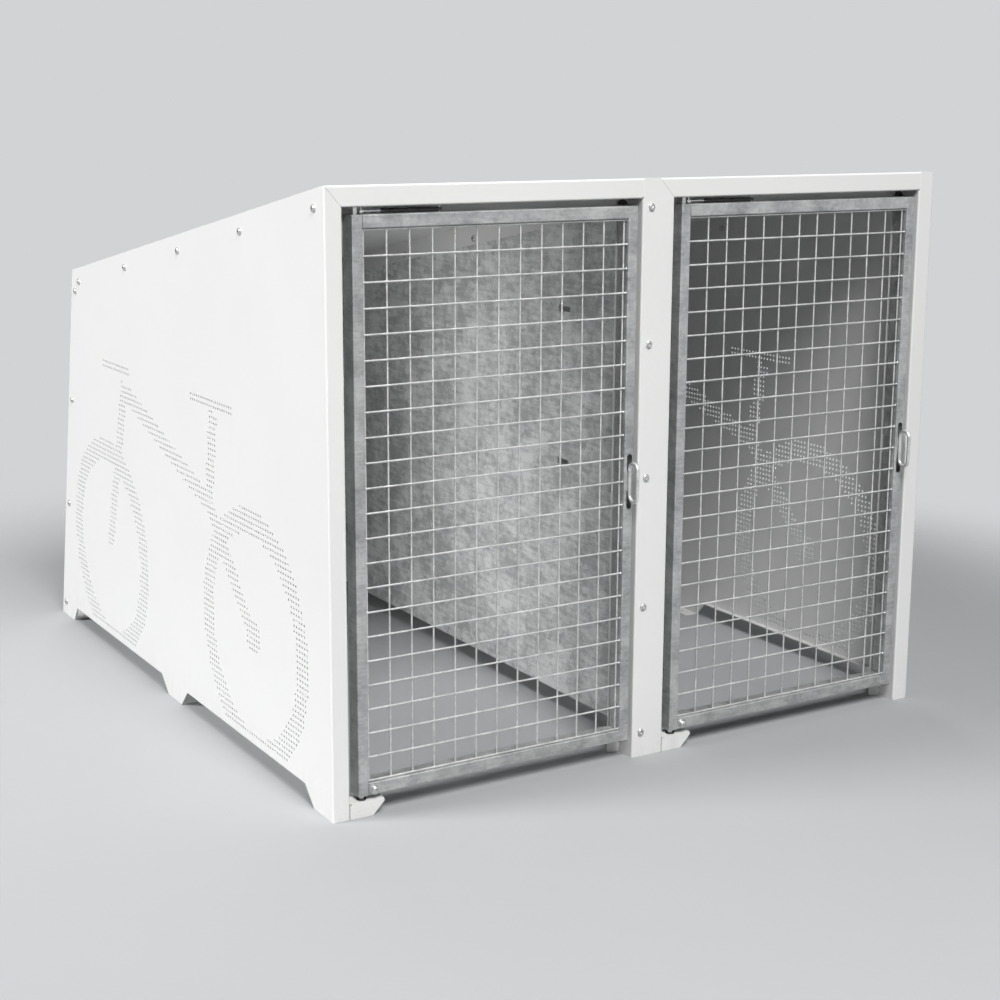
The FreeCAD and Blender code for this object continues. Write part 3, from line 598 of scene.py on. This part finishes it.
def along(start: Vector, end: Vector) -> Matrix:
    """Where a shape made about Z goes so that it lies between two points, with its middle halfway.

    Args:
        start: the lower end's place.
        end: the upper end's place.

    Returns:
        The transform.
    """
    turn = (end - start).to_track_quat("Z", "Y").to_matrix().to_4x4()
    return Matrix.Translation((start + end) / 2) @ turn


def from_base(base: Vector, direction: Vector) -> Matrix:
    """Where a shape made upwards from the origin goes, so that it stands on base along direction."""
    return Matrix.Translation(base) @ direction.to_track_quat("Z", "Y").to_matrix().to_4x4()


def collect(target: bmesh.types.BMesh, shape: bmesh.types.BMesh, places: Iterable[Matrix]) -> None:
    """Copy a shape to each place.

    Args:
        target: the mesh that takes the copies.
        shape: the shape, which is used up.
        places: a transform for each copy.
    """
    mesh = bpy.data.meshes.new("shape")
    shape.to_mesh(mesh)
    shape.free()
    for place in places:
        copy = mesh.copy()
        copy.transform(place)
        target.from_mesh(copy)
        bpy.data.meshes.remove(copy)
    bpy.data.meshes.remove(mesh)


def weld_bead(length: float, radius: float) -> bmesh.types.BMesh:
    """Make a rippled weld bead along Z, about the origin.

    Args:
        length: its length.
        radius: its radius.

    Returns:
        The bead.
    """
    ripple, end_share, crest, trough = 0.0022, 0.6, 1.66, 1.42
    made = bmesh.new()
    end = radius * end_share
    bmesh.ops.create_cone(
        made, cap_ends=True, cap_tris=False, segments=10, radius1=end, radius2=end, depth=length
    )
    count = max(3, round(2 * length / ripple))
    rings = []
    for index in range(1, count):
        height = -length / 2 + length * index / count
        geometry = made.verts[:] + made.edges[:] + made.faces[:]
        level = (0, 0, height)
        cut = bmesh.ops.bisect_plane(made, geom=geometry, dist=1e-7, plane_co=level, plane_no=(0, 0, 1))
        rings.append([part for part in cut["geom_cut"] if isinstance(part, bmesh.types.BMVert)])
    for index, ring in enumerate(rings):
        swell = trough if index % 2 else crest
        bmesh.ops.scale(made, vec=(swell, swell, 1.0), verts=ring)
    bmesh.ops.recalc_face_normals(made, faces=made.faces)
    return made


def lay_bead(target: bmesh.types.BMesh, start: Vector, end: Vector, radius: float) -> None:
    """Lay a weld bead between two points.

    Args:
        target: the mesh that takes it.
        start: one end.
        end: the other end.
        radius: its radius.
    """
    collect(target, weld_bead((end - start).length, radius), [along(start, end)])


@dataclass
class Workshop:
    """Makes pieces out of meshes and dresses the nodes."""

    materials: dict[Slot, bpy.types.Material]
    sharp_angle: float = math.radians(38)

    def piece(self, name: str, shape: bmesh.types.BMesh, slot: Slot, body: str) -> bpy.types.Object:
        """Make one piece that rides on a body, shaded smooth between its sharp edges.

        Args:
            name: the piece's name.
            shape: its mesh, in the row's frame, which is used up.
            slot: its finish.
            body: the body that carries it.

        Returns:
            The piece.
        """
        mesh = bpy.data.meshes.new(name)
        for face in shape.faces:
            face.smooth = True
        for edge in shape.edges:
            edge.smooth = len(edge.link_faces) != 2 or edge.calc_face_angle(0.0) < self.sharp_angle
        shape.to_mesh(mesh)
        shape.free()
        mesh.materials.append(self.materials[slot])
        made = bpy.data.objects.new(name, mesh)
        bpy.context.scene.collection.objects.link(made)
        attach(made, body)
        log.info("piece %s: %d faces on %s", name, len(mesh.polygons), body)
        return made

    def dress(self, name: str, slot: Slot) -> None:
        """Give a CAD node its finish.

        Args:
            name: the node's name.
            slot: its finish.
        """
        node = frame["nodes"][name]
        if not node.material_slots:
            node.data.materials.append(None)
        for place in node.material_slots:
            place.material = self.materials[slot]


def span(node: str) -> tuple[Vector, Vector, Vector]:
    """A node's lowest corner, highest corner and middle."""
    low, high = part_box(node)
    return low, high, (low + high) / 2


# Sub-assemblies


@dataclass
class Casing:
    """The dressed nodes, and the small fixed fittings at the doors' pivots."""

    shop: Workshop
    washer_inner: float = 0.0057
    washer_outer: float = 0.0098
    washer_height: float = 0.0026
    washer_edge: float = 0.0004
    washer_steps: int = 40
    seam_radius: float = 0.0016
    seam_front: float = 0.006
    seam_rear: float = 0.008
    seam_foot: float = 0.004
    seam_top: float = 0.008
    seam_sink: float = 0.0008
    top_seam_length: float = 0.026

    def dress(self) -> None:
        """Give every node of the record the finish of its slot."""
        for part in frame["record"]["subparts"]:
            self.shop.dress(part["node"], Slot(part["material_slot"]))

    def pivot_washer(self, side: Side) -> None:
        """Lay a black washer round the lower pivot pin, between the bracket and the door.

        Args:
            side: the bay.
        """
        _, _, pin = span("lower_pivot_pin_" + side.value)
        _, bracket, _ = span("pivot_bracket_" + side.value)
        inner, outer = self.washer_inner, self.washer_outer
        height, edge = self.washer_height, self.washer_edge
        profile = [
            (inner, 0),
            (outer - edge, 0),
            (outer, edge),
            (outer, height - edge),
            (outer - edge, height),
            (inner, height),
        ]
        made = bmesh.new()
        place = Matrix.Translation((pin.x, pin.y, bracket.z))
        collect(made, turned(profile, self.washer_steps, closed=True), [place])
        self.shop.piece("pivot_washer_" + side.value, made, Slot.PLASTIC, "casing")

    def bracket_welds(self, side: Side) -> None:
        """Lay the seams that hold the pivot bracket to the hinge post.

        Args:
            side: the bay.
        """
        low, high, _ = span("pivot_bracket_" + side.value)
        rear = high.y - self.seam_rear
        made = bmesh.new()
        foot, top = low.z + self.seam_foot, high.z - self.seam_top
        lay_bead(made, Vector((low.x, rear, foot)), Vector((low.x, rear, top)), self.seam_radius)
        front = Vector((low.x, low.y + self.seam_front, high.z - self.seam_sink))
        lay_bead(made, front, front + Vector((0, self.top_seam_length, 0)), self.seam_radius)
        self.shop.piece("bracket_welds_" + side.value, made, Slot.COAT, "casing")

    def build(self) -> None:
        """Dress the nodes and add the casing's small pieces."""
        self.dress()
        for side in Side:
            self.pivot_washer(side)
            self.bracket_welds(side)


@dataclass
class Door:
    """One door: the welds of its frame and of its mesh."""

    shop: Workshop
    side: Side
    bead_radius: float = 0.0017
    seam_inset: float = 0.0025
    seam_sink: float = 0.0004
    corner_offset: float = 0.0006
    corner_front: float = 0.013
    corner_rear: float = 0.003
    uprights: int = 13
    crosswires: int = 23
    wire_radius: float = 0.002
    collar_height: float = 0.0026
    collar_shares: tuple[tuple[float, float], ...] = ((1.36, 0.0), (1.2, 0.2), (1.07, 0.55), (1.015, 1.0))
    collar_steps: int = 10
    nugget_radius: float = 0.0017
    nugget_shares: tuple[float, float, float] = (1.15, 0.75, 1.15)

    @property
    def body(self) -> str:
        """The body that carries the door."""
        return "door_" + self.side.value

    def part(self, name: str) -> str:
        """The name of one of the door's nodes."""
        return f"{self.body}_{name}"

    def frame_welds(self) -> None:
        """Lay the seams where rails meet stiles: down the back face and along the inner corners."""
        _, hinge, _ = span(self.part("hinge_stile"))
        lock, _, _ = span(self.part("lock_stile"))
        made = bmesh.new()
        for rail in ("bottom_rail", "top_rail"):
            low, high, _ = span(self.part(rail))
            level = high.z + self.corner_offset if rail == "bottom_rail" else low.z - self.corner_offset
            back = high.y - self.seam_sink
            for x, inward in ((hinge.x, 1), (lock.x, -1)):
                start = Vector((x, back, low.z + self.seam_inset))
                end = Vector((x, back, high.z - self.seam_inset))
                lay_bead(made, start, end, self.bead_radius)
                side = x + inward * self.corner_offset
                start = Vector((side, low.y + self.corner_front, level))
                end = Vector((side, high.y - self.corner_rear, level))
                lay_bead(made, start, end, self.bead_radius)
        self.shop.piece(self.part("frame_welds"), made, Slot.TUBE, self.body)

    def wire_centres(self, count: int, low: float, high: float) -> list[float]:
        """Middles of evenly spaced wires between the outer sides of the first and the last."""
        first, last = low + self.wire_radius, high - self.wire_radius
        return [first + (last - first) * index / (count - 1) for index in range(count)]

    def mesh_welds(self) -> None:
        """Make a flared weld at each end of each wire, and a nugget at each crossing."""
        up_low, up_high, up_mid = span(self.part("mesh_uprights"))
        cross_low, cross_high, cross_mid = span(self.part("mesh_crosswires"))
        columns = self.wire_centres(self.uprights, up_low.x, up_high.x)
        rows = self.wire_centres(self.crosswires, cross_low.z, cross_high.z)
        wire, height = self.wire_radius, self.collar_height
        flare = [(wire * width, height * level) for width, level in self.collar_shares]
        ends = []
        up, right = Vector((0, 0, 1)), Vector((1, 0, 0))
        for x in columns:
            ends.append(from_base(Vector((x, up_mid.y, up_low.z)), up))
            ends.append(from_base(Vector((x, up_mid.y, up_high.z)), -up))
        for z in rows:
            ends.append(from_base(Vector((cross_low.x, cross_mid.y, z)), right))
            ends.append(from_base(Vector((cross_high.x, cross_mid.y, z)), -right))
        made = bmesh.new()
        collect(made, turned([(0, 0), *flare, (0, height)], self.collar_steps), ends)
        self.shop.piece(self.part("wire_end_welds"), made, Slot.WIRE, self.body)
        crossing = (up_mid.y + cross_mid.y) / 2
        nugget = bmesh.new()
        bmesh.ops.create_icosphere(nugget, subdivisions=1, radius=self.nugget_radius)
        bmesh.ops.scale(nugget, vec=self.nugget_shares, verts=nugget.verts)
        made = bmesh.new()
        collect(made, nugget, [Matrix.Translation((x, crossing, z)) for x in columns for z in rows])
        self.shop.piece(self.part("crossing_welds"), made, Slot.WIRE, self.body)

    def build(self) -> None:
        """Add the door's welds."""
        self.frame_welds()
        self.mesh_welds()


@dataclass
class Strut:
    """The strut above a door: the crimped gland at its cylinder's mouth."""

    shop: Workshop
    side: Side
    axis_level: float = 1.2065
    length: float = 0.007
    radius: float = 0.0045
    bore: float = 0.00215
    edge: float = 0.0004
    overlap: float = 0.0008
    steps: int = 32

    def build(self) -> None:
        """Make a ring round the rod, with a groove pressed into its outside."""
        body = "strut_cylinder_" + self.side.value
        low, _, middle = span(body)
        radius, length, bore, edge = self.radius, self.length, self.bore, self.edge
        profile = [
            (bore, 0),
            (radius - 2 * edge, 0),
            (radius - edge / 2, 1.5 * edge),
            (radius, 4 * edge),
            (radius, 9 * edge),
            (radius - edge, 11 * edge),
            (radius, 13 * edge),
            (radius, length - edge),
            (radius - edge, length),
            (bore, length),
        ]
        made = bmesh.new()
        base = Vector((low.x - self.overlap, middle.y, self.axis_level))
        place = from_base(base, Vector((1, 0, 0)))
        collect(made, turned(profile, self.steps, closed=True), [place])
        self.shop.piece("strut_gland_" + self.side.value, made, Slot.PAINT, body)


@dataclass
class Buffer:
    """The rubber that the shut door rests on, with its bright cup."""

    shop: Workshop
    side: Side
    bevel: float = 0.0016
    dish: float = 0.0012
    wall: float = 0.001
    fit: float = 0.0003
    step: float = 0.0001
    cup_corner: float = 0.0012
    cup_edge: float = 0.0003
    steps: int = 48

    def rubber(self, radius: float, depth: float, length: float) -> list[tuple[float, float]]:
        """The rubber's outline: a dished face, a rounded rim and a plug inside the cup.

        Args:
            radius: its radius outside the cup.
            depth: how far it stands out of the cup.
            length: its whole length.

        Returns:
            The (radius, height) pairs, from its face.
        """
        bevel, plug = self.bevel, radius - self.wall - self.fit
        return [
            (0, self.dish),
            (radius * 0.3, self.dish * 0.75),
            (radius * 0.42, self.dish / 6),
            (radius - bevel, 0),
            (radius - bevel * 0.3, bevel * 0.3),
            (radius, bevel),
            (radius, depth),
            (plug, depth + self.step),
            (plug, length),
            (0, length),
        ]

    def cup(self, radius: float, depth: float) -> list[tuple[float, float]]:
        """The cup's outline.

        Args:
            radius: its outer radius.
            depth: its whole depth.

        Returns:
            The (radius, height) pairs, from its mouth.
        """
        inside, edge, corner = radius - self.wall, self.cup_edge, self.cup_corner
        return [
            (0, depth),
            (radius - corner, depth),
            (radius, depth - corner),
            (radius, edge),
            (radius - edge, 0),
            (inside + edge, 0),
            (inside, edge),
            (inside, depth - self.wall),
            (0, depth - self.wall),
        ]

    def build(self) -> None:
        """Replace the plain rubber and cup by turned ones of the same size."""
        side = self.side.value
        low, high, middle = span("buffer_rubber_" + side)
        cup_low, cup_high, _ = span("buffer_cup_" + side)
        radius = (high.x - low.x) / 2
        rubber = self.rubber(radius, cup_low.y - low.y, high.y - low.y)
        cup = self.cup(radius, cup_high.y - cup_low.y)
        rows = (
            ("moulded_buffer_", "buffer_rubber_", rubber, low.y, Slot.RUBBER),
            ("pressed_cup_", "buffer_cup_", cup, cup_low.y, Slot.ZINC),
        )
        for name, node, profile, front, slot in rows:
            made = bmesh.new()
            place = from_base(Vector((middle.x, front, middle.z)), Vector((0, 1, 0)))
            collect(made, turned(profile, self.steps), [place])
            piece = self.shop.piece(name + side, made, slot, "casing")
            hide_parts(node + side)


@dataclass
class Staple:
    """The welds that hold the padlock staple to its lug, and the lug to the post."""

    shop: Workshop
    side: Side
    bead_radius: float = 0.0018
    outset: float = 0.0005
    end_inset: float = 0.0012
    front_inset: float = 0.0036
    rear_inset: float = 0.0008

    def build(self) -> None:
        """Add the seams on both sides of the lug."""
        low, high, middle = span("staple_lug_" + self.side.value)
        made = bmesh.new()
        for x in (low.x, high.x):
            side = x + math.copysign(self.outset, x - middle.x)
            for y in (low.y + self.front_inset, high.y - self.rear_inset):
                start = Vector((side, y, low.z + self.end_inset))
                end = Vector((side, y, high.z - self.end_inset))
                lay_bead(made, start, end, self.bead_radius)
        self.shop.piece("staple_welds_" + self.side.value, made, Slot.BAR, "casing")


# Studio


@dataclass(frozen=True)
class Lamp:
    """One soft round lamp: where it hangs, what it faces, its diameter, watts and beam in degrees."""

    name: str
    place: Colour
    aim: Colour
    size: float
    power: float
    spread: float = 180.0

    def hang(self) -> None:
        """Put the lamp in the scene, unseen by the camera."""
        light = bpy.data.lights.new(self.name, "AREA")
        light.shape = "DISK"
        light.size = self.size
        light.energy = self.power
        light.spread = math.radians(self.spread)
        made = bpy.data.objects.new(self.name, light)
        made.location = self.place
        ahead = Vector(self.aim) - Vector(self.place)
        made.rotation_euler = ahead.to_track_quat("-Z", "Y").to_euler()
        made.visible_camera = False
        bpy.context.scene.collection.objects.link(made)


@dataclass
class Studio:
    """Floor, light and camera."""

    eye: Colour = (-2.193867, -3.853039, 1.403416)
    yaw: float = 0.531611548
    pitch: float = -0.204274778
    roll: float = 0.00226368873
    lens: float = 63.653
    sensor: float = 36.0
    shift: tuple[float, float] = (0.02039, -0.02900)
    backdrop: Colour = (0.64, 0.65, 0.665)
    ambient: float = 0.05
    floor_colour: Colour = (0.405, 0.412, 0.422)
    floor_drift: float = 0.985
    floor_radius: float = 14.0
    floor_sink: float = 0.0004
    fade_start: float = 1.35
    fade_end: float = 2.7
    middle: Colour = (0.0, -0.1, 0.6)

    def lamps(self) -> list[Lamp]:
        """List the lamps.

        Returns:
            Five round the locker, four low ones in its bays, and two in the left bay beside the partition.
        """
        listed = [
            Lamp("key", (-9.2, 1.6, 5.8), self.middle, size=3.4, power=1020.0),
            Lamp("fill", (-1.6, -6.2, 7.0), self.middle, size=4.2, power=920.0),
            Lamp("beam", (-3.6, -6.6, 1.9), (-0.35, -0.6, 0.62), size=0.9, power=0.3, spread=11.0),
            Lamp("top", (0.0, 0.6, 6.5), self.middle, size=5.0, power=12.0),
            Lamp("rear", (2.6, 8.4, 3.2), self.middle, size=3.4, power=170.0),
        ]
        for x, power in ((-0.37, 0.12), (0.37, 0.07)):
            for y in (-0.4, 0.35):
                listed.append(Lamp("panel", (x, y, 0.004), (x, y, 1.0), size=0.6, power=power))
        for z in (0.36, 0.84):
            listed.append(Lamp("wall", (-0.7, -0.15, z), (1.0, -0.15, z), size=0.25, power=0.36, spread=84.0))
        return listed

    def world(self) -> None:
        """Plain pale surroundings: full strength where seen or reflected, weaker as a light."""
        made = bpy.data.worlds.new("studio")
        made.use_nodes = True
        graph = Graph(made.node_tree)
        back = made.node_tree.nodes["Background"]
        back.inputs["Color"].default_value = (*self.backdrop, 1.0)
        path = graph.node("ShaderNodeLightPath")
        seen = graph.math("MAXIMUM", path.outputs["Is Camera Ray"], path.outputs["Is Glossy Ray"])
        seen = graph.math("MAXIMUM", seen, path.outputs["Is Transmission Ray"])
        graph.link(graph.spread(seen, 0.0, 1.0, self.ambient, 1.0), back.inputs["Strength"])
        bpy.context.scene.world = made

    def floor_finish(self) -> bpy.types.Material:
        """Build the floor's finish, which turns clear far from the locker.

        Returns:
            The material.
        """
        made = bpy.data.materials.new("floor")
        made.use_nodes = True
        graph = Graph(made.node_tree)
        shader = made.node_tree.nodes["Principled BSDF"]
        shader.inputs["Roughness"].default_value = 0.9
        shader.inputs["Specular IOR Level"].default_value = 0.1
        place = graph.place()
        mottle = graph.spread(graph.noise(place, 3.0, 5.0), 0.3, 0.7, 0.0, 1.0)
        tone = tuple(value * self.floor_drift for value in self.floor_colour)
        graph.link(graph.blend(mottle, self.floor_colour, tone), shader.inputs["Base Color"])
        far = graph.node("ShaderNodeVectorMath", operation="LENGTH")
        graph.link(place, far.inputs[0])
        fade = graph.node(
            "ShaderNodeMapRange", interpolation_type="SMOOTHERSTEP",
            From_Min=self.fade_start, From_Max=self.fade_end,
        )
        graph.link(far.outputs["Value"], fade.inputs["Value"])
        clear = graph.node("ShaderNodeBsdfTransparent")
        mix = graph.node("ShaderNodeMixShader")
        graph.link(fade.outputs["Result"], mix.inputs[0])
        graph.link(shader.outputs[0], mix.inputs[1])
        graph.link(clear.outputs[0], mix.inputs[2])
        graph.link(mix.outputs[0], made.node_tree.nodes["Material Output"].inputs["Surface"])
        return made

    def floor(self) -> None:
        """Lay the pale floor."""
        made = bmesh.new()
        bmesh.ops.create_circle(made, cap_ends=True, segments=96, radius=self.floor_radius)
        bmesh.ops.translate(made, vec=(0, 0, -self.floor_sink), verts=made.verts)
        mesh = bpy.data.meshes.new("floor")
        made.to_mesh(mesh)
        made.free()
        mesh.materials.append(self.floor_finish())
        ground = bpy.data.objects.new("floor", mesh)
        bpy.context.scene.collection.objects.link(ground)

    def camera(self) -> None:
        """The photograph's camera, fitted to the door mesh."""
        flat = math.cos(self.pitch)
        ahead = Vector((math.sin(self.yaw) * flat, math.cos(self.yaw) * flat, math.sin(self.pitch)))
        level = Vector((math.cos(self.yaw), -math.sin(self.yaw), 0.0))
        upright = level.cross(ahead)
        right = level * math.cos(self.roll) + upright * math.sin(self.roll)
        up = upright * math.cos(self.roll) - level * math.sin(self.roll)
        data = bpy.data.cameras.new("camera")
        data.sensor_width = self.sensor
        data.lens = self.lens
        data.shift_x, data.shift_y = self.shift
        data.clip_start, data.clip_end = 0.05, 100.0
        made = bpy.data.objects.new("camera", data)
        turn = Matrix((right, up, -ahead)).transposed()
        made.matrix_world = Matrix.Translation(self.eye) @ turn.to_4x4()
        bpy.context.scene.collection.objects.link(made)
        bpy.context.scene.camera = made

    def build(self) -> None:
        """Set up the camera, the light and the floor."""
        bpy.context.scene.view_settings.view_transform = "Standard"
        self.camera()
        self.world()
        self.floor()
        for lamp in self.lamps():
            lamp.hang()


def main() -> None:
    """Build the studio and the locker's looks, piece by piece."""
    logging.basicConfig(level=logging.INFO, format="%(message)s")
    Studio().build()
    shop = Workshop(finishes())
    Casing(shop).build()
    for side in Side:
        Door(shop, side).build()
        Strut(shop, side).build()
        Buffer(shop, side).build()
        Staple(shop, side).build()


if __name__ == "__main__":
    main()
